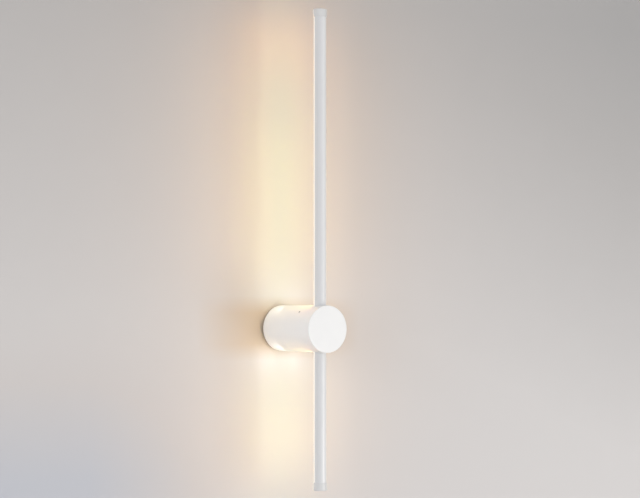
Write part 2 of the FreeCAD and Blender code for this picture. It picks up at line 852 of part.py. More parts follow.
def make_terminal_inserts():
    sleeves = []
    for depth in pole_depths():
        sleeve = pole_bar(insert_outer_radius, depth, insert_end_gap)
        sleeve = sleeve.cut(pole_bar(insert_bore_radius, depth, 0))
        for side in (-1, 1):
            sleeve = sleeve.cut(screw_bar(terminal_screw_radius, depth, side * terminal_screw_offset))
        sleeves.append(sleeve)
    return Part.makeCompound(sleeves)


def make_terminal_screws():
    """The upper two clamp the mains wires, the lower two wait for the house cable."""
    face = terminal_x - terminal_half_width + terminal_screw_recess
    screws = []
    for depth in pole_depths():
        for side, tip_gap in ((1, mains_wire_radius), (-1, insert_bore_radius)):
            length = terminal_x - tip_gap - face
            screw = Part.makeCylinder(terminal_screw_radius, length)
            slot = Part.makeBox(2 * terminal_screw_radius, terminal_slot_width, terminal_slot_depth,
                                FreeCAD.Vector(-terminal_screw_radius, -terminal_slot_width / 2, 0))
            screw = screw.cut(slot)
            screws.append(placed(screw, at(face, depth, side * terminal_screw_offset), RIGHT))
    return Part.makeCompound(screws)


def make_terminal_block_screw():
    front = plate_thickness + terminal_tab_thickness
    screw = head_screw(tab_screw_radius, front - through_gap, tab_screw_head_radius,
                       tab_screw_head_height)
    return placed(screw, at(terminal_x, front, terminal_tab_z()), WALL)


# ---------------------------------------------------------------- leads

def mains_rows():
    """Heights at which the two mains wires pass through the driver's lid."""
    first = terminal_half_length + mains_first_row
    return first, first + mains_wire_spacing


def make_mains_leads():
    """From each pole up, then a quarter bend out to the driver's board."""
    wires = []
    near, far = pole_depths()
    for depth, row in ((far, mains_rows()[0]), (near, mains_rows()[1])):
        start = at(terminal_x, depth, terminal_screw_offset - terminal_screw_radius)
        corner = at(terminal_x, depth, row - mains_wire_bend)
        end = at(terminal_x, driver_board_rear, row)
        wires.append(bent_wire(mains_wire_radius, start, corner, mains_wire_bend, UP, ROOM, end))
    return Part.makeCompound(wires)


def make_output_lead():
    """The round lead through the spindle, and its two cores down to the driver's board."""
    inside = case_floor - case_wall
    sheath = rod(lead_radius, inside, plug_rear)
    cores = [rod(lead_core_radius, driver_board_front, inside, side * lead_core_offset) for side in (-1, 1)]
    return Part.makeCompound([sheath] + cores)


def make_lead_plug():
    body = block(-plug_half_width, plug_half_width, plug_rear, plug_front,
                 -plug_half_height, plug_half_height)
    nose_width = plug_half_width - nose_wall_step
    nose_height = plug_half_height - nose_wall_step
    nose = block(-nose_width, nose_width, plug_front, plug_front + plug_nose_length,
                 -nose_height, nose_height)
    plug = joined(body, nose)
    for side in (-1, 1):
        plug = plug.cut(rod(pin_radius, plug_front, plug_front + plug_nose_length, side * lead_core_offset))
    return plug


def make_lead_socket():
    cavity_width = plug_half_width - nose_wall_step + socket_fit
    cavity_height = plug_half_height - nose_wall_step + socket_fit
    body = block(-cavity_width - socket_wall, cavity_width + socket_wall, plug_front, socket_front,
                 -cavity_height - socket_wall, cavity_height + socket_wall)
    return body.cut(block(-cavity_width, cavity_width, plug_front, plug_front + plug_nose_length,
                          -cavity_height, cavity_height))


def make_connector_pins():
    """Two pins that stand on the socket's floor and sit in the plug's nose."""
    pins = []
    for side in (-1, 1):
        pins.append(rod(pin_radius, plug_front, plug_front + plug_nose_length, side * lead_core_offset))
    return Part.makeCompound(pins)


def solder_joint(x, z):
    """A blunt cone of solder that stands on a board's face and covers a core's end."""
    height = tube_core_lift + 2 * tube_core_radius + solder_cover
    return Part.makeCone(solder_radius, solder_top_radius, height, at(x, board_rear, z), WALL)


def make_tube_lead():
    """From the socket up to the clips, then two cores bend up along the upper board."""
    sheath_front = clip_rear - tube_lead_radius
    pieces = [rod(tube_lead_radius, socket_front, sheath_front)]
    over_board = board_rear - tube_core_lift - tube_core_radius
    end_z = board_joint_gap / 2 + core_reach
    for side in (-1, 1):
        x = side * tube_core_offset
        start = at(x, sheath_front, 0)
        corner = at(x, over_board - lead_bend, 0)
        end = at(x, over_board, end_z)
        core = bent_wire(tube_core_radius, start, corner, lead_bend, ROOM, UP, end)
        pieces.append(joined(core, solder_joint(x, end_z)))
    return Part.makeCompound(pieces)


def make_board_jumpers():
    over_board = board_rear - tube_core_lift - tube_core_radius
    end_z = board_joint_gap / 2 + core_reach
    jumpers = []
    for side in (-1, 1):
        x = side * jumper_offset
        wire = upright(tube_core_radius, -end_z, end_z, over_board, x)
        jumpers.append(joined(wire, solder_joint(x, end_z), solder_joint(x, -end_z)))
    return Part.makeCompound(jumpers)


# ---------------------------------------------------------------- the whole light

nodes = {
    "wall_plate": make_wall_plate(),
    "cable_grommet": make_cable_grommet(),
    "driver_frame": make_driver_frame(),
    "frame_rivets": make_frame_rivets(),
    "terminal_block": make_terminal_block(),
    "terminal_inserts": make_terminal_inserts(),
    "terminal_screws": make_terminal_screws(),
    "terminal_block_screw": make_terminal_block_screw(),
    "earth_washer": make_earth_washer(),
    "earth_screw": make_earth_screw(),
    "driver_case": make_driver_case(),
    "driver_lid": make_driver_lid(),
    "driver_lid_screws": make_driver_lid_screws(),
    "driver_mount_screws": make_driver_mount_screws(),
    "driver_board": make_driver_board(),
    "driver_transformer": make_driver_transformer(),
    "transformer_winding": make_transformer_winding(),
    "driver_capacitor": make_driver_capacitor(),
    "mains_leads": make_mains_leads(),
    "output_lead": make_output_lead(),
    "hollow_spindle": make_hollow_spindle(),
    "rear_nut": nut(nut_across_flats, rear_nut_rear, bridge_rear, spindle_radius),
    "jam_nut": nut(nut_across_flats, bridge_front, jam_nut_front, spindle_radius),
    "friction_washer": ring(washer_radius, spindle_radius, jam_nut_front, bracket_rear),
    "disc_spring": make_disc_spring(),
    "flat_washer": ring(washer_radius, spindle_radius, spring_front, flat_washer_front),
    "lock_nut": nut(lock_nut_across_flats, flat_washer_front, lock_nut_front, spindle_radius),
    "base_stop_pin": make_base_stop_pin(),
    "swivel_bracket": make_swivel_bracket(),
    "bracket_stop_pin": make_bracket_stop_pin(),
    "drum_shell": make_drum_shell(),
    "side_set_screws": make_side_set_screws(),
    "front_cap": make_front_cap(),
    "tube_clips": make_tube_clips(),
    "clip_screws": make_clip_screws(),
    "tube_profile": make_tube_profile(),
    "upper_diffuser": make_diffuser(lead_window / 2, profile_top),
    "lower_diffuser": make_diffuser(profile_bottom, -lead_window / 2),
    "upper_led_board": make_led_board(True),
    "lower_led_board": make_led_board(False),
    "upper_leds": make_leds(True),
    "lower_leds": make_leds(False),
    "top_end_cap": make_end_cap(profile_top, 1),
    "bottom_end_cap": make_end_cap(profile_bottom, -1),
    "lead_plug": make_lead_plug(),
    "lead_socket": make_lead_socket(),
    "connector_pins": make_connector_pins(),
    "tube_lead": make_tube_lead(),
    "board_jumpers": make_board_jumpers(),
}

for name, shape in nodes.items():
    shape.exportStep(os.path.join("parts", name + ".step"))

print("nodes", len(nodes))
print("front of the drum at", round(drum_front, 2), "mm, tube axis at", round(tube_axis, 2), "mm")
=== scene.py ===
import json
import math

import bmesh
import bpy
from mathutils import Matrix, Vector


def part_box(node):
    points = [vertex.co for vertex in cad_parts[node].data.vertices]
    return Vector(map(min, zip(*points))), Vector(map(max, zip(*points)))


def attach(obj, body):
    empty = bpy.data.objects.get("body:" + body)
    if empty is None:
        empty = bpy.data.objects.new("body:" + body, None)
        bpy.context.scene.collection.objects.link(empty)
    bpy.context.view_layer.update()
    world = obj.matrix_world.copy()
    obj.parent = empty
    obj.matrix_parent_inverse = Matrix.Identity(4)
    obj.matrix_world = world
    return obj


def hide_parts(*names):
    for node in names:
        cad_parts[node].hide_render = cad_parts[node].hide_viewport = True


# Tube wall light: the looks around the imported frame. Metres, +Z up, +Y into the wall.
# "Depth" is the distance out from the wall, so y = -depth.

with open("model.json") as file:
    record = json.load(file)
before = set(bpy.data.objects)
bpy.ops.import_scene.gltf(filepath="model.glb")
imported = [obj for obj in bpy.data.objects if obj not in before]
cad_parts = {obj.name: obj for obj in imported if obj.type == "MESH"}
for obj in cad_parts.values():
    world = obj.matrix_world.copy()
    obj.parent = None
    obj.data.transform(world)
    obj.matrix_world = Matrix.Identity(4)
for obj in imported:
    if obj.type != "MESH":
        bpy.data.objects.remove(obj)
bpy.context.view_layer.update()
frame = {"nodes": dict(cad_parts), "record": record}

MM = 0.001

# ---------------------------------------------------------------- sizes read from the frame

shell_low, shell_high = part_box("drum_shell")
cap_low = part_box("front_cap")[0]
profile_low, profile_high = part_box("tube_profile")
top_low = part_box("top_end_cap")[0]
upper_low, upper_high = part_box("upper_diffuser")
lower_low, lower_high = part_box("lower_diffuser")
screws_low, screws_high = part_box("side_set_screws")

drum_radius = shell_high.x
drum_rear = -shell_high.y
drum_seam = -shell_low.y
drum_front = -cap_low.y
tube_radius = profile_high.x
tube_axis = -profile_high.y

# ---------------------------------------------------------------- sizes of the finish

bore_radius = 27.5 * MM
hole_radius = 8.7 * MM
side_screw_radius = 1.5 * MM
side_screw_angle = math.radians(43)     # from the top towards -X
side_screw_depth = -(screws_low.y + screws_high.y) / 2

rim_round = 0.3 * MM                    # drum shell's two rims
face_round = 0.9 * MM                   # front cap's outer edge
seam_round = 0.12 * MM                  # each side of a hairline joint
hole_round = 0.35 * MM
screw_hole_round = 0.3 * MM

# In the tube's section, distances forward of its axis are positive.
profile_wall = 1.2 * MM
web_rear = 1.8 * MM
web_front = 3.0 * MM
groove_start = 0.4 * MM
groove_end = 1.0 * MM
groove_reach = 7.2 * MM
diffuser_wall = 1.5 * MM
leg_root = -1.0 * MM
leg_end = 1.1 * MM
leg_inner = 5.9 * MM
leg_outer = 6.7 * MM
hook_start = 0.4 * MM
hook_end = 0.9 * MM
hook_reach = 7.0 * MM
led_pitch = 10 * MM

spigot_wall = 2.0 * MM
spigot_fit = 0.05 * MM
spigot_rear = 97 * MM
cradle_half_width = 17.0 * MM
cradle_half_height = 7.0 * MM
cradle_fit = 0.05 * MM

cap_flare = 1.0 * MM                    # how far an end cap stands proud of the tube
cap_skirt_length = 4.0 * MM
cap_skirt_radius = 8.5 * MM
cap_pocket_radius = 8.1 * MM
cap_head = 6.0 * MM
cap_edge = 0.8 * MM
cap_crown = 0.12 * MM

# How finely round forms are divided.
SEAM_STEPS = 2
ROUND_STEPS = 4
CAP_EDGE_STEPS = 6
FACE_STEPS = 8
GROOVE_STEPS = 32
PROFILE_STEPS = 24
BORE_STEPS = 14
DIFFUSER_STEPS = 48
LINING_STEPS = 40
PROFILE_LEVELS = 60
DIFFUSER_LEVEL = 10 * MM
FRONT_SEGMENTS = 128
END_CAP_SEGMENTS = 72
FACE_RINGS = (0.45, 0.85)               # shares of the drum's radius
CREASE = math.radians(35)               # sharper edges stay sharp

# ---------------------------------------------------------------- mesh helpers


def finish_mesh(name, verts, faces):
    """An object from corners and faces, smooth except where faces meet sharply."""
    mesh = bpy.data.meshes.new(name)
    mesh.from_pydata([tuple(v) for v in verts], [], faces)
    work = bmesh.new()
    work.from_mesh(mesh)
    bmesh.ops.recalc_face_normals(work, faces=work.faces)
    for face in work.faces:
        face.smooth = True
    for edge in work.edges:
        edge.smooth = edge.calc_face_angle(0) < CREASE
    work.to_mesh(mesh)
    work.free()
    piece = bpy.data.objects.new(name, mesh)
    bpy.context.scene.collection.objects.link(piece)
    return piece


def arc(centre, radius, start, end, steps):
    """Points on an arc, in degrees, both ends included."""
    points = []
    for i in range(steps + 1):
        angle = math.radians(start + (end - start) * i / steps)
        points.append((centre[0] + radius * math.cos(angle),
                       centre[1] + radius * math.sin(angle)))
    return points


def lathe(profile, place, segments):
    """A closed turned body, from a profile that runs from axis to axis."""
    verts = []
    rings = []
    for radius, level in profile:
        if radius == 0:
            rings.append([len(verts)])
            verts.append(place(0, 0, level))
            continue
        ring = []
        for i in range(segments):
            angle = math.tau * i / segments
            ring.append(len(verts))
            verts.append(place(radius * math.cos(angle), radius * math.sin(angle), level))
        rings.append(ring)
    faces = []
    for low, high in zip(rings, rings[1:]):
        for i in range(segments):
            after = (i + 1) % segments
            if len(low) == 1:
                faces.append((low[0], high[i], high[after]))
            elif len(high) == 1:
                faces.append((low[i], low[after], high[0]))
            else:
                faces.append((low[i], low[after], high[after], high[i]))
    return verts, faces


def out_of_wall(a, b, level):
    """Places a turned body on the drum's axis: level is a depth."""
    return (a, -level, b)


def along_tube(a, b, level):
    """Places a turned body on the tube's axis: level is a height."""
    return (a, b - tube_axis, level)


def extruded(loops, levels):
    """A bar along the tube from closed section loops in (x, distance from the tube's axis
    towards the room). The first loop is the outline, any others are bores. Ends are filled."""
    work = bmesh.new()
    end_edges = ([], [])
    for loop in loops:
        rings = []
        for level in levels:
            rings.append([work.verts.new((x, -tube_axis - d, level)) for x, d in loop])
        for low, high in zip(rings, rings[1:]):
            for i in range(len(loop)):
                after = (i + 1) % len(loop)
                work.faces.new((low[i], low[after], high[after], high[i]))
        for ring, edges in ((rings[0], end_edges[0]), (rings[-1], end_edges[1])):
            for i in range(len(loop)):
                edges.append(work.edges.get((ring[i], ring[(i + 1) % len(loop)])))
    for edges in end_edges:
        bmesh.ops.triangle_fill(work, use_beauty=True, edges=edges)
    work.verts.index_update()
    verts = [v.co.copy() for v in work.verts]
    faces = [[v.index for v in f.verts] for f in work.faces]
    work.free()
    return verts, faces


def merged(*parts):
    """Several (verts, faces) as one."""
    verts = []
    faces = []
    for part_verts, part_faces in parts:
        base = len(verts)
        verts += part_verts
        faces += [[base + i for i in face] for face in part_faces]
    return verts, faces


def steps_between(low, high, count):
    """Numbers from low to high, both included."""
    return [low + (high - low) * i / count for i in range(count + 1)]


# ---------------------------------------------------------------- drum shell

TUBE_CELLS = 16                 # grid cells along a side of each hole's rectangle
SCREW_CELLS = 8
TUBE_PATCH = 10.5 * MM          # half a side of the rectangle
SCREW_PATCH = 3.2 * MM
NEAR_CELLS = 6                  # from the tube hole to the screw hole, round the drum
FAR_CELLS = 36                  # and from there to the other tube hole
REAR_CELLS = 12                 # from the rear rim to the screw hole
FRONT_CELLS = 3                 # from the tube hole to the front rim
RING_SHARES = (0.35, 0.7)       # rings between a rectangle and its hole
SAME = 1e-7                     # lengths this close count as equal


class DrumShell:
    """A thick round shell with two tube holes and two screw holes, all with rounded edges.

    Corners lie on a grid of angles (from the top towards -X) and stations along a closed
    profile. A hole replaces a rectangle of grid cells, outside and inside, with rings that
    run from the rectangle to the hole's circle.
    """

    def __init__(self):
        self.verts = []
        self.faces = []
        self.holes = []
        self.lay_angles()
        self.lay_profile()
        self.make_grid()
        for hole in self.holes:
            self.cut(*hole)

    def lay_angles(self):
        """The grid's angles, denser across the holes, and the list of holes."""
        tube_half = math.asin(TUBE_PATCH / drum_radius)
        screw_half = math.asin(SCREW_PATCH / drum_radius)
        self.angles = []
        for turn in (0, math.pi):
            marks = [(turn - tube_half, turn + tube_half, TUBE_CELLS),
                     (turn + tube_half, turn + side_screw_angle - screw_half, NEAR_CELLS),
                     (turn + side_screw_angle - screw_half, turn + side_screw_angle + screw_half,
                      SCREW_CELLS),
                     (turn + side_screw_angle + screw_half, turn + math.pi - tube_half, FAR_CELLS)]
            starts = []
            for low, high, count in marks:
                starts.append(len(self.angles))
                self.angles += steps_between(low, high, count)[:-1]
            self.holes.append((turn, starts[0], TUBE_CELLS, tube_axis, TUBE_PATCH, hole_radius,
                               hole_round))
            self.holes.append((turn + side_screw_angle, starts[2], SCREW_CELLS, side_screw_depth,
                               SCREW_PATCH, side_screw_radius, screw_hole_round))

    def wall_stations(self, radius, rear, front):
        """Profile points along one wall, denser across the holes."""
        depths = steps_between(rear, side_screw_depth - SCREW_PATCH, REAR_CELLS)[:-1]
        depths += steps_between(side_screw_depth - SCREW_PATCH, side_screw_depth + SCREW_PATCH,
                                SCREW_CELLS)
        depths += steps_between(tube_axis - TUBE_PATCH, tube_axis + TUBE_PATCH, TUBE_CELLS)
        depths += steps_between(tube_axis + TUBE_PATCH, front, FRONT_CELLS)[1:]
        return [(radius, depth) for depth in depths]

    def lay_profile(self):
        """The closed profile: outer wall, front rim, inner wall, rear rim."""
        front = drum_seam
        rear = drum_rear + rim_round
        outer = self.wall_stations(drum_radius, rear, front - seam_round)
        inner = self.wall_stations(bore_radius, rear, front - rim_round)
        turn_out = arc((drum_radius - seam_round, front - seam_round), seam_round, 0, 90,
                       SEAM_STEPS)[1:]
        turn_in = arc((bore_radius + rim_round, front - rim_round), rim_round, 90, 180,
                      ROUND_STEPS)[:-1]
        rear_in = arc((bore_radius + rim_round, rear), rim_round, 180, 270, ROUND_STEPS)[1:]
        rear_out = arc((drum_radius - rim_round, rear), rim_round, 270, 360, ROUND_STEPS)[:-1]
        self.profile = outer + turn_out + turn_in + inner[::-1] + rear_in + rear_out
        self.inner_start = len(outer) + len(turn_out) + len(turn_in)
        self.inner_end = self.inner_start + len(inner) - 1

    def make_grid(self):
        for angle in self.angles:
            for radius, depth in self.profile:
                self.verts.append((-radius * math.sin(angle), -depth, radius * math.cos(angle)))
        count = len(self.profile)
        skipped = set()
        for turn, start, cells, depth, patch, radius, rounding in self.holes:
            for outside in (True, False):
                low, high = self.rows(depth, patch, outside)
                for column in range(start, start + cells):
                    skipped.update((column, row) for row in range(low, high))
        for column in range(len(self.angles)):
            for row in range(count):
                if (column, row) not in skipped:
                    self.faces.append((self.at(column, row), self.at(column, row + 1),
                                       self.at(column + 1, row + 1), self.at(column + 1, row)))

    def at(self, column, row):
        count = len(self.profile)
        return (column % len(self.angles)) * count + row % count

    def rows(self, depth, patch, outside):
        """First and last profile index of a hole's rectangle."""
        found = []
        for row, (radius, station) in enumerate(self.profile):
            inside_part = self.inner_start <= row <= self.inner_end
            if inside_part != outside and abs(station - depth) < patch + SAME:
                wall = drum_radius if outside else bore_radius
                if abs(radius - wall) < SAME:
                    found.append(row)
        return min(found), max(found)

    def border(self, start, cells, low, high, outside):
        """Grid corners round a rectangle, in the same order outside and inside."""
        rear, front = (low, high) if outside else (high, low)
        step = 1 if outside else -1
        corners = [self.at(start + i, rear) for i in range(cells)]
        corners += [self.at(start + cells, row) for row in range(rear, front, step)]
        corners += [self.at(start + cells - i, front) for i in range(cells)]
        corners += [self.at(start, row) for row in range(front, rear, -step)]
        return corners

    def cut(self, turn, start, cells, depth, patch, radius, rounding):
        """Fills a hole's two rectangles with rings, and joins them by the hole's wall."""
        out = Vector((-math.sin(turn), 0, math.cos(turn)))
        side = Vector((-math.cos(turn), 0, -math.sin(turn)))
        rear = Vector((0, -1, 0))

        def ring(points, wall, sink):
            made = []
            for u, v in points:
                lift = math.sqrt(wall * wall - u * u) - sink
                made.append(len(self.verts))
                self.verts.append(tuple(out * lift + side * u + rear * (depth + v)))
            return made

        def flat(corner):
            point = Vector(self.verts[corner])
            return point.dot(side), -point.y - depth

        borders = []
        for outside in (True, False):
            low, high = self.rows(depth, patch, outside)
            borders.append(self.border(start, cells, low, high, outside))
        directions = []
        for u, v in map(flat, borders[0]):
            size = math.hypot(u, v)
            directions.append((u / size, v / size))
        rings = []
        for border, wall, sign in ((borders[0], drum_radius, 1), (borders[1], bore_radius, -1)):
            mouth = [(u * (radius + rounding), v * (radius + rounding)) for u, v in directions]
            edge = list(map(flat, border))
            run = [border]
            for share in RING_SHARES:
                between = [(a + (c - a) * share, b + (d - b) * share)
                           for (a, b), (c, d) in zip(edge, mouth)]
                run.append(ring(between, wall, 0))
            for i in range(ROUND_STEPS + 1):
                angle = math.pi / 2 * i / ROUND_STEPS
                reach = radius + rounding * (1 - math.sin(angle))
                points = [(u * reach, v * reach) for u, v in directions]
                run.append(ring(points, wall, sign * rounding * (1 - math.cos(angle))))
            rings.append(run)
        chain = rings[0] + rings[1][::-1]
        for first, second in zip(chain, chain[1:]):
            for i in range(len(first)):
                after = (i + 1) % len(first)
                self.faces.append((first[i], first[after], second[after], second[i]))


def make_drum():
    shell = DrumShell()
    return finish_mesh("drum_body", shell.verts, shell.faces)


# ---------------------------------------------------------------- front cap


def make_front_cap():
    """A disc with a rounded edge and a hairline joint to the drum, its spigot and the cradle."""
    disc = [(0, drum_front)] + [(drum_radius * share, drum_front) for share in FACE_RINGS]
    disc += arc((drum_radius - face_round, drum_front - face_round), face_round, 90, 0, FACE_STEPS)
    disc += arc((drum_radius - seam_round, drum_seam + seam_round), seam_round, 0, -90, SEAM_STEPS)
    spigot_radius = bore_radius - spigot_fit
    disc += [(spigot_radius, drum_seam), (spigot_radius, spigot_rear),
             (spigot_radius - spigot_wall, spigot_rear), (spigot_radius - spigot_wall, drum_seam),
             (0, drum_seam)]
    groove = tube_radius + cradle_fit
    groove_arc = arc((0, 0), groove, 0, 180, GROOVE_STEPS)
    cradle_front = drum_seam - tube_axis
    section = [(cradle_half_width, cradle_front), (cradle_half_width, 0)] + groove_arc
    section += [(-cradle_half_width, 0), (-cradle_half_width, cradle_front)]
    cradle = extruded([section], [-cradle_half_height, cradle_half_height])
    verts, faces = merged(lathe(disc, out_of_wall, FRONT_SEGMENTS), cradle)
    return finish_mesh("front_cap_finish", verts, faces)


# ---------------------------------------------------------------- light tube


def mirrored(right_side):
    """A closed section from the points of its right half, from the room round to the wall."""
    return right_side + [(-x, d) for x, d in reversed(right_side)]


def make_profile():
    """The painted half of the tube, with its web and snap grooves."""
    lip = math.degrees(seam_round / tube_radius)
    inner = tube_radius - profile_wall
    web_x = math.sqrt(inner * inner - web_rear * web_rear)
    outline = arc((0, 0), tube_radius, 90, lip, PROFILE_STEPS)
    outline += [(tube_radius - seam_round, 0), (inner, 0), (inner, groove_start),
                (groove_reach, groove_start), (groove_reach, groove_end), (inner, groove_end),
                (web_x, web_rear)]
    web_angle = math.degrees(math.asin(web_front / inner))
    bore = arc((0, 0), inner, 90, web_angle, BORE_STEPS)
    loops = [[loop[0]] + mirrored(loop[1:]) for loop in (outline, bore)]
    verts, faces = extruded(loops, steps_between(profile_low.z, profile_high.z, PROFILE_LEVELS))
    return finish_mesh("tube_painted_half", verts, faces)


def make_diffuser(name, low, high):
    """The opal half of the tube, with the legs that snap into the extrusion."""
    lip = math.degrees(seam_round / tube_radius)
    inner = tube_radius - diffuser_wall
    inner_start = math.degrees(math.asin(leg_root / inner))
    right = [(leg_inner, leg_root), (leg_inner, leg_end), (leg_outer, leg_end),
             (leg_outer, hook_end), (hook_reach, hook_end), (hook_reach, hook_start),
             (leg_outer, hook_start), (leg_outer, 0), (tube_radius - seam_round, 0)]
    outer = arc((0, 0), tube_radius, -lip, -180 + lip, DIFFUSER_STEPS)
    left = [(-x, d) for x, d in reversed(right)]
    lining = arc((0, 0), inner, -180 - inner_start, inner_start, LINING_STEPS)
    section = right + outer + left + lining
    levels = steps_between(low, high, round((high - low) / DIFFUSER_LEVEL))
    verts, faces = extruded([section], levels)
    return finish_mesh(name, verts, faces)


def make_end_cap(name, level, way):
    """A flared, slightly crowned plug over the tube's end, which is at a level. The way is 1
    upwards and -1 downwards."""
    skirt = min(abs(top_low.z - profile_high.z), cap_skirt_length)
    side = tube_radius + cap_flare - cap_edge
    points = [(0, cap_head), (side / 2, cap_head - cap_crown / 4), (side, cap_head - cap_crown)]
    points += arc((side, cap_head - cap_crown - cap_edge), cap_edge, 90, 3, CAP_EDGE_STEPS)[1:]
    points += [(cap_skirt_radius, seam_round - skirt), (cap_skirt_radius - seam_round, -skirt),
               (cap_pocket_radius, -skirt), (cap_pocket_radius, 0), (0, 0)]
    profile = [(radius, level + way * height) for radius, height in points]
    verts, faces = lathe(profile, along_tube, END_CAP_SEGMENTS)
    return finish_mesh(name, verts, faces)


# ---------------------------------------------------------------- materials


class Shader:
    """A material under construction: a Principled shader and shorthand for its nodes."""

    def __init__(self, name, colour, roughness, metallic=0.0):
        self.material = bpy.data.materials.new(name)
        self.material.use_nodes = True
        self.nodes = self.material.node_tree.nodes
        self.links = self.material.node_tree.links
        self.surface = self.nodes["Principled BSDF"]
        self.set("Base Color", (*colour, 1))
        self.set("Roughness", roughness)
        self.set("Metallic", metallic)
        self.position = self.nodes.new("ShaderNodeTexCoord").outputs["Object"]

    def set(self, socket, value):
        self.surface.inputs[socket].default_value = value

    def link(self, output, socket):
        self.links.new(output, self.surface.inputs[socket])

    def axes(self):
        """The X, Y and Z of the object coordinates."""
        node = self.nodes.new("ShaderNodeSeparateXYZ")
        self.links.new(self.position, node.inputs["Vector"])
        return node.outputs["X"], node.outputs["Y"], node.outputs["Z"]

    def stretched(self, scale):
        """Object coordinates stretched by a scale along each axis."""
        node = self.nodes.new("ShaderNodeMapping")
        node.inputs["Scale"].default_value = scale
        self.links.new(self.position, node.inputs["Vector"])
        return node.outputs["Vector"]

    def noise(self, size, detail, stretch=None):
        """Noise whose largest features are about a size across, in metres."""
        node = self.nodes.new("ShaderNodeTexNoise")
        node.inputs["Scale"].default_value = 1 / size
        node.inputs["Detail"].default_value = detail
        source = self.position if stretch is None else self.stretched(stretch)
        self.links.new(source, node.inputs["Vector"])
        return node.outputs["Fac"]

    def ramp(self, factor, stops):
        """A colour ramp from (place, colour) stops."""
        node = self.nodes.new("ShaderNodeValToRGB")
        elements = node.color_ramp.elements
        elements[0].position, elements[0].color = stops[0][0], (*stops[0][1], 1)
        elements[1].position, elements[1].color = stops[-1][0], (*stops[-1][1], 1)
        for place, colour in stops[1:-1]:
            elements.new(place).color = (*colour, 1)
        self.links.new(factor, node.inputs["Fac"])
        return node.outputs["Color"]

    def spread(self, factor, low, high, source_low=0.3, source_high=0.7):
        """A factor mapped to a range."""
        node = self.nodes.new("ShaderNodeMapRange")
        node.inputs["From Min"].default_value = source_low
        node.inputs["From Max"].default_value = source_high
        node.inputs["To Min"].default_value = low
        node.inputs["To Max"].default_value = high
        self.links.new(factor, node.inputs["Value"])
        return node.outputs["Result"]

    def math(self, operation, first, second=None):
        """One step of arithmetic on numbers or sockets."""
        node = self.nodes.new("ShaderNodeMath")
        node.operation = operation
        for index, value in enumerate((first, second)):
            if value is None:
                continue
            if isinstance(value, (int, float)):
                node.inputs[index].default_value = value
            else:
                self.links.new(value, node.inputs[index])
        return node.outputs["Value"]

    def times(self, first, second):
        """One colour multiplied by another."""
        node = self.nodes.new("ShaderNodeMix")
        node.data_type = "RGBA"
        node.blend_type = "MULTIPLY"
        node.inputs["Factor"].default_value = 1
        self.links.new(first, node.inputs[6])
        self.links.new(second, node.inputs[7])
        return node.outputs[2]

    def behind_axis(self):
        """Zero on the tube's axis and in front of it, one at the tube's rear."""
        behind = self.math("ADD", self.axes()[1], tube_axis)
        return self.spread(behind, 0.0, 1.0, 0.0, tube_radius)

    def bump(self, height, distance, strength):
        node = self.nodes.new("ShaderNodeBump")
        node.inputs["Strength"].default_value = strength
        node.inputs["Distance"].default_value = distance
        self.links.new(height, node.inputs["Height"])
        self.link(node.outputs["Normal"], "Normal")

    def glow(self, colour, strength=1.0):
        self.link(colour, "Emission Color")
        self.set("Emission Strength", strength)

    def gloss(self, grain, middle, below, above):
        """Roughness that follows a grain, from below to above its middle value."""
        self.link(self.spread(grain, middle - below, middle + above), "Roughness")


paint_cloud = 28 * MM           # size of the paint's slight unevenness
paint_peel = 0.45 * MM          # and of its orange peel
peel_height = 0.02 * MM
texture_height = 0.01 * MM


def powder_coat(name, light, dark, roughness, grain=paint_peel, strength=0.12):
    """Sprayed powder paint: a fine orange peel, slight unevenness of tone and gloss."""
    shader = Shader(name, light, roughness)
    tone = shader.noise(paint_cloud, 2.0)
    shader.link(shader.ramp(tone, [(0.35, dark), (0.65, light)]), "Base Color")
    peel = shader.noise(grain, 3.0)
    shader.gloss(peel, roughness, 0.05, 0.05)
    shader.bump(peel, peel_height, strength)
    return shader.material


def satin_paint_with_painted_light(name, left, middle, right, roughness):
    """The tube's paint: a little greyer and cooler than the drum's as painted shade, and palest on
    its right as a painted highlight.
    """
    shader = Shader(name, middle, roughness)
    shader.set("Specular IOR Level", 0.8)
    # Painted highlight: the ramp across the tube pales the paint towards its right side, where the
    # key lamp falls.
    across = shader.spread(shader.axes()[0], 0.0, 1.0, -tube_radius, tube_radius)
    across = shader.math("ADD", across, shader.spread(shader.noise(paint_cloud, 2.0), -0.03, 0.03))
    shader.link(shader.ramp(across, [(0.0, left), (0.24, middle), (0.50, right), (1.0, right)]),
                "Base Color")
    peel = shader.noise(paint_peel, 3.0)
    shader.gloss(peel, roughness, 0.05, 0.05)
    shader.bump(peel, peel_height, 0.12)
    return shader.material


def moulded(name, light, dark, roughness, strength=0.08, painted_leak_glow=None):
    """Moulded plastic with a spark texture and a faint flow of tone. On the tube's ends, a painted
    glow on the side that faces the wall stands for the tube's light coming through."""
    shader = Shader(name, light, roughness)
    flow = shader.noise(9 * MM, 2.0, (1, 1, 0.4))
    shader.link(shader.ramp(flow, [(0.35, dark), (0.65, light)]), "Base Color")
    spark = shader.noise(0.25 * MM, 4.0)
    shader.gloss(spark, roughness, 0.06, 0.06)
    shader.bump(spark, texture_height, strength)
    # Painted glow: the end caps' wall side emits light, though they are no lamp.
    if painted_leak_glow:
        shader.glow(shader.ramp(shader.behind_axis(), [(0.0, (0, 0, 0)), (0.25, painted_leak_glow)]))
    return shader.material


def plated(name, light, dark, roughness):
    """Machined and plated metal with streaks and cloudy patches."""
    shader = Shader(name, light, roughness, 1.0)
    cloud = shader.noise(5 * MM, 3.0)
    shader.link(shader.ramp(cloud, [(0.3, dark), (0.7, light)]), "Base Color")
    scratches = shader.noise(0.3 * MM, 4.0, (1, 1, 0.08))
    shader.gloss(scratches, roughness, 0.08, 0.12)
    shader.bump(scratches, texture_height, 0.1)
    return shader.material


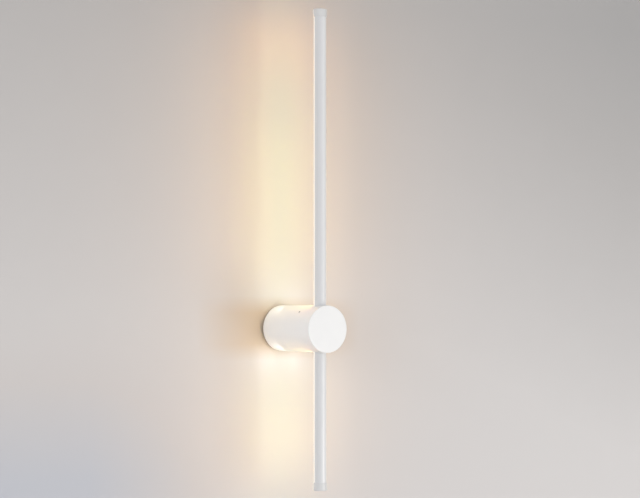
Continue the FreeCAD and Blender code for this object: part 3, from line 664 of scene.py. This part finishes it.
def matt(name, light, dark, roughness, grain):
    """A matt surface with grain in its colour: rubber, fibre, ferrite, fabric sleeve."""
    shader = Shader(name, light, roughness)
    speckle = shader.noise(grain, 4.0)
    shader.link(shader.ramp(speckle, [(0.3, dark), (0.7, light)]), "Base Color")
    shader.gloss(speckle, roughness, 0.08, 0.08)
    shader.bump(speckle, peel_height, 0.2)
    return shader.material


def wound_copper(name, light, dark):
    """Enamelled wire laid side by side."""
    wire = 0.4 * MM
    shader = Shader(name, light, 0.3, 1.0)
    waves = shader.nodes.new("ShaderNodeTexWave")
    waves.bands_direction = "Z"
    waves.inputs["Scale"].default_value = 0.5 / wire
    waves.inputs["Distortion"].default_value = 0.4
    shader.links.new(shader.position, waves.inputs["Vector"])
    shader.link(shader.ramp(waves.outputs["Fac"], [(0.1, dark), (0.8, light)]), "Base Color")
    shader.bump(waves.outputs["Fac"], 0.1 * MM, 0.6)
    return shader.material


def opal(name):
    """Frosted diffuser lit from inside: warmest at the tube's rear, with a faint spot over each
    LED."""
    roughness = 0.38
    spot_share = 0.03
    shader = Shader(name, (0.58, 0.57, 0.55), roughness)
    phase = shader.math("MULTIPLY", shader.axes()[2], math.tau / led_pitch)
    spots = shader.math("MULTIPLY", shader.math("COSINE", phase), spot_share)
    place = shader.math("ADD", shader.behind_axis(), spots)
    shader.glow(shader.ramp(place, [(0.0, (0.45, 0.425, 0.40)), (0.45, (0.45, 0.41, 0.33)),
                                    (1.0, (0.52, 0.46, 0.34))]))
    frost = shader.noise(0.3 * MM, 3.0)
    shader.gloss(frost, roughness, 0.05, 0.05)
    shader.bump(frost, texture_height, 0.06)
    return shader.material


def led_phosphor(name):
    """Yellow phosphor, white where it glows."""
    shader = Shader(name, (0.9, 0.72, 0.25), 0.4)
    cells = shader.noise(0.8 * MM, 2.0)
    shader.link(shader.ramp(cells, [(0.3, (0.85, 0.62, 0.18)), (0.7, (0.95, 0.80, 0.36))]),
                "Base Color")
    shader.glow(shader.ramp(cells, [(0.3, (1.0, 0.78, 0.45)), (0.7, (1.0, 0.86, 0.60))]), 0.8)
    return shader.material


finishes = {
    "white_paint": powder_coat("white_paint", (0.892, 0.890, 0.884), (0.876, 0.875, 0.870), 0.42),
    "white_plastic": moulded("white_plastic", (0.690, 0.690, 0.692), (0.672, 0.672, 0.676), 0.40,
                             painted_leak_glow=(0.20, 0.165, 0.13)),
    "opal_diffuser": opal("opal_diffuser"),
    # Near black: the plate's own dark paint, and partly painted shade for the gap between the drum
    # and the wall.
    "base_plate_grey": powder_coat("base_plate_grey", (0.030, 0.030, 0.032), (0.020, 0.020, 0.022),
                                   0.62, 0.7 * MM, 0.35),
    "zinc_steel": plated("zinc_steel", (0.62, 0.62, 0.60), (0.48, 0.49, 0.49), 0.32),
    "dark_steel": plated("dark_steel", (0.10, 0.10, 0.105), (0.05, 0.05, 0.055), 0.36),
    "brass": plated("brass", (0.78, 0.60, 0.30), (0.60, 0.44, 0.20), 0.28),
    "black_rubber": matt("black_rubber", (0.035, 0.035, 0.035), (0.018, 0.018, 0.018), 0.72,
                         0.5 * MM),
    "driver_plastic": moulded("driver_plastic", (0.80, 0.80, 0.77), (0.74, 0.74, 0.71), 0.45, 0.2),
    "board_green": moulded("board_green", (0.03, 0.20, 0.07), (0.02, 0.14, 0.05), 0.25),
    "board_white": moulded("board_white", (0.85, 0.85, 0.85), (0.78, 0.78, 0.78), 0.3),
    "led_phosphor": led_phosphor("led_phosphor"),
    "ferrite": matt("ferrite", (0.075, 0.075, 0.08), (0.04, 0.04, 0.045), 0.6, 0.6 * MM),
    "copper": wound_copper("copper", (0.80, 0.36, 0.16), (0.40, 0.14, 0.06)),
    "capacitor_sleeve": moulded("capacitor_sleeve", (0.03, 0.04, 0.08), (0.02, 0.03, 0.06), 0.3),
    "wire_insulation": moulded("wire_insulation", (0.26, 0.13, 0.07), (0.20, 0.10, 0.05), 0.4),
    "white_lead": moulded("white_lead", (0.78, 0.78, 0.76), (0.70, 0.70, 0.68), 0.45),
    "fibre": matt("fibre", (0.42, 0.16, 0.08), (0.28, 0.10, 0.05), 0.7, 0.4 * MM),
}
# The tube's paint: a greyer, cooler base as painted shade and a paler right side as a painted
# highlight.
tube_paint = satin_paint_with_painted_light("tube_paint", (0.690, 0.696, 0.706), (0.690, 0.694, 0.706),
                         (0.785, 0.785, 0.792), 0.36)


def dress(piece, slot, finish=None):
    """Gives a piece the finish of its slot, or another finish of the same material."""
    piece.data.materials.clear()
    piece.data.materials.append(finish or finishes[slot])


for subpart in frame["record"]["subparts"]:
    dress(frame["nodes"][subpart["node"]], subpart["material_slot"])


def add(piece, slot, node, finish=None):
    """A finished piece that stands for a CAD node of the turning head."""
    dress(piece, slot, finish)
    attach(piece, "head")
    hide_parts(node)


add(make_drum(), "white_paint", "drum_shell")
add(make_front_cap(), "white_paint", "front_cap")
add(make_profile(), "white_paint", "tube_profile", tube_paint)
add(make_diffuser("opal_upper", upper_low.z, upper_high.z), "opal_diffuser", "upper_diffuser")
add(make_diffuser("opal_lower", lower_low.z, lower_high.z), "opal_diffuser", "lower_diffuser")
add(make_end_cap("end_plug_top", profile_high.z, 1), "white_plastic", "top_end_cap")
add(make_end_cap("end_plug_bottom", profile_low.z, -1), "white_plastic", "bottom_end_cap")

# ---------------------------------------------------------------- camera

camera_distance = 2.0695                # level, from the middle of the drum's length
camera_azimuth = math.radians(-35.29)
camera_height = 37.55 * MM
camera_yaw = math.radians(35.87)        # from +Y towards +X
camera_pitch = math.radians(1.80)
sensor_width = 36                       # mm, as the lens
camera_lens = 90.26

camera_data = bpy.data.cameras.new("camera")
camera_data.sensor_width = sensor_width
camera_data.lens = camera_lens
camera = bpy.data.objects.new("camera", camera_data)
bpy.context.scene.collection.objects.link(camera)
camera.location = (camera_distance * math.sin(camera_azimuth),
                   -camera_distance * math.cos(camera_azimuth) - drum_front / 2,
                   camera_height)
ahead = Vector((math.sin(camera_yaw) * math.cos(camera_pitch),
                math.cos(camera_yaw) * math.cos(camera_pitch),
                math.sin(camera_pitch)))
camera.rotation_mode = "QUATERNION"
camera.rotation_quaternion = ahead.to_track_quat("-Z", "Y")
bpy.context.scene.camera = camera

# ---------------------------------------------------------------- stage: wall and floor

wall_half_width = 3.0
wall_top = 3.2
floor_level = -1.1
floor_reach = 40.0
wall_gap = 0.15 * MM
plate_opening = 25.5 * MM
OPENING_CORNERS = 64

# Where the wall's painted shade changes, as (from, to).
painted_shade_up = (-0.25, 0.45)               # z
painted_shade_right = (0.25, 0.65)             # x
shade_beside = (drum_radius, 130 * MM)  # distance from the drum's axis, sideways
shade_level = (20 * MM, 42 * MM)        # and up or down
painted_cool_shade_left = (-0.28, -0.03)              # x
painted_cool_shade_low = (-0.18, 0.02)                # z


def make_wall():
    """A pale wall with a round opening behind the base plate, so that the plate's rear can be
    seen and lit from behind. The wall is seen from the room only."""
    corners = [(-wall_half_width, floor_level), (wall_half_width, floor_level),
               (wall_half_width, wall_top), (-wall_half_width, wall_top)]
    work = bmesh.new()
    edges = []
    opening = arc((0, 0), plate_opening, 0, 360, OPENING_CORNERS)[:-1]
    for loop in (corners, opening):
        ring = [work.verts.new((x, wall_gap, z)) for x, z in loop]
        for i in range(len(ring)):
            edges.append(work.edges.new((ring[i], ring[(i + 1) % len(ring)])))
    bmesh.ops.triangle_fill(work, use_beauty=True, edges=edges)
    for face in work.faces:
        face.normal_update()
        if face.normal.y > 0:
            face.normal_flip()
    mesh = bpy.data.meshes.new("wall")
    work.to_mesh(mesh)
    work.free()
    wall = bpy.data.objects.new("wall", mesh)
    bpy.context.scene.collection.objects.link(wall)
    return wall


def wall_paint():
    """Matt paint with painted shade: darker upwards and to the right, a warm painted shade on
    either side of the drum and a cooler, dimmer painted shade low on the left. From behind it is
    clear."""
    shader = Shader("wall_paint", (0.63, 0.62, 0.615), 0.85)
    x, _, z = shader.axes()
    # Painted shade: the paint darkens upwards and to the right, where less light falls.
    height = shader.spread(z, 0.0, 0.76, *painted_shade_up)
    right = shader.spread(x, 0.0, 0.20, *painted_shade_right)
    plaster = shader.math("MULTIPLY", shader.noise(60 * MM, 3.0), 0.04)
    tone = shader.math("ADD", shader.math("ADD", height, right), plaster)
    paint = shader.ramp(tone, [(0.0, (0.630, 0.612, 0.610)), (0.27, (0.625, 0.607, 0.602)),
                               (0.76, (0.478, 0.464, 0.458)), (1.0, (0.420, 0.412, 0.410))])
    # Painted shade: a warm, darker tone on either side of the drum, where the drum shades the
    # wall.
    beside = shader.spread(shader.math("ABSOLUTE", x), 1.0, 0.0, *shade_beside)
    level = shader.spread(shader.math("ABSOLUTE", z), 1.0, 0.0, *shade_level)
    shade = shader.ramp(shader.math("MULTIPLY", beside, level),
                        [(0.0, (1, 1, 1)), (1.0, (0.92, 0.78, 0.62))])
    # Painted shade: the paint turns cooler and dimmer low on the left.
    left = shader.spread(x, 1.0, 0.0, *painted_cool_shade_left)
    low = shader.spread(z, 1.0, 0.0, *painted_cool_shade_low)
    corner = shader.ramp(shader.math("MULTIPLY", left, low),
                         [(0.0, (1, 1, 1)), (0.4, (0.965, 0.95, 0.945)),
                          (1.0, (0.835, 0.885, 0.965))])
    shader.link(shader.times(shader.times(paint, shade), corner), "Base Color")
    output = shader.nodes["Material Output"]
    clear = shader.nodes.new("ShaderNodeBsdfTransparent")
    choice = shader.nodes.new("ShaderNodeMixShader")
    side = shader.nodes.new("ShaderNodeNewGeometry")
    shader.links.new(side.outputs["Backfacing"], choice.inputs["Fac"])
    shader.links.new(shader.surface.outputs["BSDF"], choice.inputs[1])
    shader.links.new(clear.outputs["BSDF"], choice.inputs[2])
    shader.links.new(choice.outputs["Shader"], output.inputs["Surface"])
    return shader.material


def make_floor():
    """A wide square floor."""
    corners = [(x * floor_reach, y * floor_reach, floor_level)
               for x, y in ((-1, -1), (1, -1), (1, 1), (-1, 1))]
    mesh = bpy.data.meshes.new("floor")
    mesh.from_pydata(corners, [], [(0, 1, 2, 3)])
    floor = bpy.data.objects.new("floor", mesh)
    bpy.context.scene.collection.objects.link(floor)
    return floor


def floor_paint():
    """A matt pale floor with broad, faint clouds."""
    shader = Shader("floor_paint", (0.70, 0.68, 0.66), 0.7)
    tone = shader.noise(0.4, 2.0)
    shader.link(shader.ramp(tone, [(0.3, (0.68, 0.66, 0.64)), (0.7, (0.72, 0.70, 0.68))]),
                "Base Color")
    return shader.material


wall = make_wall()
wall.data.materials.append(wall_paint())
floor = make_floor()
floor.data.materials.append(floor_paint())

# ---------------------------------------------------------------- light


def area_light(name, place, aim, size, power, colour, mirrored=True):
    """A rectangular lamp, in watts. Where it isn't mirrored, no gloss shows it."""
    data = bpy.data.lights.new(name, "AREA")
    data.shape = "RECTANGLE"
    data.size, data.size_y = size
    data.energy = power
    data.color = colour
    lamp = bpy.data.objects.new(name, data)
    bpy.context.scene.collection.objects.link(lamp)
    lamp.location = place
    lamp.rotation_mode = "QUATERNION"
    lamp.rotation_quaternion = (Vector(aim) - Vector(place)).to_track_quat("-Z", "Y")
    lamp.visible_glossy = mirrored
    return lamp


area_light("key", place=(1.0, -1.5, -0.60), aim=(0.05, 0, -0.1), size=(0.85, 0.85), power=10.5,
           colour=(1.0, 0.99, 0.98))
area_light("fill", place=(-2.2, -1.0, 0.3), aim=(0, 0, 0.05), size=(1.2, 1.2), power=16.0,
           colour=(0.97, 0.985, 1.0), mirrored=False)

world_colour = (0.99, 0.995, 1.0, 1)
world_strength = 0.77
backdrop_colour = (0.55, 0.54, 0.53, 1)


def make_world():
    """An even pale surround. Seen directly, in a mirror or through glass it is as pale as the
    floor's far edge."""
    world = bpy.data.worlds.new("studio")
    world.use_nodes = True
    nodes = world.node_tree.nodes
    links = world.node_tree.links
    light = nodes["Background"]
    light.inputs["Color"].default_value = world_colour
    light.inputs["Strength"].default_value = world_strength
    seen = nodes.new("ShaderNodeBackground")
    seen.inputs["Color"].default_value = backdrop_colour
    path = nodes.new("ShaderNodeLightPath")
    factor = path.outputs["Is Camera Ray"]
    for ray in ("Is Glossy Ray", "Is Transmission Ray"):
        either = nodes.new("ShaderNodeMath")
        either.operation = "MAXIMUM"
        links.new(factor, either.inputs[0])
        links.new(path.outputs[ray], either.inputs[1])
        factor = either.outputs["Value"]
    choice = nodes.new("ShaderNodeMixShader")
    links.new(factor, choice.inputs["Fac"])
    links.new(light.outputs["Background"], choice.inputs[1])
    links.new(seen.outputs["Background"], choice.inputs[2])
    links.new(choice.outputs["Shader"], nodes["World Output"].inputs["Surface"])
    bpy.context.scene.world = world


make_world()

# The glow's lamps: heights are from the drum's axis, the distances behind from the tube's.
lamp_width = 8 * MM
lamp_behind = tube_radius + 0.3 * MM
root_behind = 61 * MM           # the root lamps light the wall right by the drum
tube_top = profile_high.z - 6 * MM
tube_bottom = profile_low.z + 6 * MM
root_edge = 31 * MM
drum_edge = 33 * MM
wide_edge = 42 * MM
low_end = 75 * MM
root_end = root_edge + 12 * MM
upper_end_low = tube_top - 40 * MM
upper_third_low = tube_top - 130 * MM
lower_end_high = tube_bottom + 40 * MM

# The warm light that the diffusers throw at the wall, as pairs of lamps: name, lowest and
# highest point, distance behind the tube's axis, turn to either side, tilt upwards, watts per
# metre, colour.
glow_lamps = [
    ("upper_near", low_end, tube_top, lamp_behind, 40, 0, 0.23, (0.90, 0.80, 0.22)),
    ("upper_low", drum_edge, low_end, lamp_behind, 40, 0, 0.21, (0.95, 0.82, 0.32)),
    ("upper_wide", wide_edge, tube_top, lamp_behind, 80, 0, 0.265, (1.0, 0.22, 0.0)),
    ("upper_third", upper_third_low, tube_top, lamp_behind, 40, 0, 0.05, (1.0, 0.75, 0.35)),
    ("upper_end", upper_end_low, tube_top, lamp_behind, 40, 30, 0.75, (1.0, 0.38, 0.06)),
    ("upper_root", root_edge, root_end, root_behind, 18, 0, 0.18, (0.84, 0.85, 0.85)),
    ("lower_near", tube_bottom, -low_end, lamp_behind, 40, 0, 0.23, (0.84, 0.78, 0.28)),
    ("lower_low", -low_end, -drum_edge, lamp_behind, 40, 0, 0.22, (0.92, 0.82, 0.38)),
    ("lower_wide", tube_bottom, -wide_edge, lamp_behind, 80, 0, 0.22, (1.0, 0.22, 0.0)),
    ("lower_end", tube_bottom, lower_end_high, lamp_behind, 40, -25, 0.26, (1.0, 0.50, 0.22)),
    ("lower_root", -root_end, -root_edge, root_behind, 18, 0, 0.30, (0.88, 0.83, 0.85)),
]


def glow_pair(name, low, high, behind, turn, tilt, power_per_metre, colour):
    """Two narrow lamps behind the tube, one turned to either side."""
    for side in (-1, 1):
        angle = math.radians(turn * side)
        level_way = Vector((math.sin(angle), math.cos(angle), 0))
        place = Vector((0, -tube_axis, (low + high) / 2)) + level_way * behind
        rise = math.radians(tilt)
        way = level_way * math.cos(rise) + Vector((0, 0, math.sin(rise)))
        lamp = area_light(f"{name}_{side}", place, place + way, (lamp_width, high - low),
                          power_per_metre * (high - low), colour)
        lamp.visible_camera = False
        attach(lamp, "head")


for glow_lamp in glow_lamps:
    glow_pair(*glow_lamp)

bpy.context.scene.view_settings.view_transform = "Standard"
